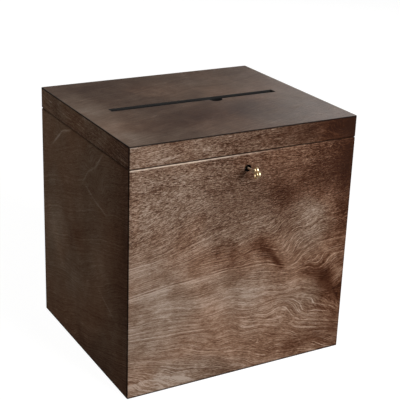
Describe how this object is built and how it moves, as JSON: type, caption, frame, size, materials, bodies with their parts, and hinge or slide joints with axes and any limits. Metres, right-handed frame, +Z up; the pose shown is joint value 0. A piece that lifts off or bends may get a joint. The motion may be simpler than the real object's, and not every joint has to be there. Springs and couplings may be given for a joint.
{
  "type": "envelope box",
  "caption": "Stained plywood box for collecting cards, with a hinged lid slotted for envelopes, a half-round finger notch in the slot, and a small lock with a brass key.",
  "frame": {"origin": "middle of the flat underside of the box", "axes": "+Z up, +X to the right as seen from the side with the key, +Y from the keyhole side towards the hinges"},
  "size_m": [0.29, 0.2756, 0.3],
  "materials": {
    "stained_plywood": "satin brown stain with raised grain",
    "brass": "polished",
    "steel": "plain"
  },
  "bodies": {
    "box_body": {"front_panel": "stained_plywood", "back_panel": "stained_plywood", "left_panel": "stained_plywood", "right_panel": "stained_plywood", "bottom_panel": "stained_plywood", "lock_plate": "brass", "lock_case": "brass", "lock_screws": "brass", "left_hinge_body_leaf": "brass", "left_hinge_pin": "brass", "right_hinge_body_leaf": "brass", "right_hinge_pin": "brass", "hinge_body_screws": "brass"},
    "lid": {"lid_top_panel": "stained_plywood", "lid_front_rail": "stained_plywood", "lid_back_rail": "stained_plywood", "lid_left_rail": "stained_plywood", "lid_right_rail": "stained_plywood", "left_hinge_lid_leaf": "brass", "right_hinge_lid_leaf": "brass", "hinge_lid_screws": "brass", "strike_plate": "brass", "strike_screws": "brass"},
    "cam": {"lock_cam": "steel"},
    "bolt": {"lock_bolt": "steel"},
    "key": {"key": "brass"}
  },
  "joints": [
    {"name": "lid_hinge", "type": "hinge", "parent": "box_body", "child": "lid", "pos_m": [0, 0.1235, 0.27415], "axis": [-1, 0, 0], "range_deg": [0, 105]},
    {"name": "cam_turn", "type": "hinge", "parent": "box_body", "child": "cam", "pos_m": [0, -0.1135, 0.2566], "axis": [0, 1, 0], "range_deg": [0, 90]},
    {"name": "bolt_slide", "type": "slide", "parent": "box_body", "child": "bolt", "axis": [1, 0, 0], "range_m": [0, 0.005]},
    {"name": "key_draw", "type": "slide", "parent": "cam", "child": "key", "axis": [0, -1, 0], "range_m": [0, 0.02]}
  ],
  "couplings": [
    {"joint": "bolt_slide", "follows": "cam_turn", "m_per_rad": 0.003183}
  ]
}
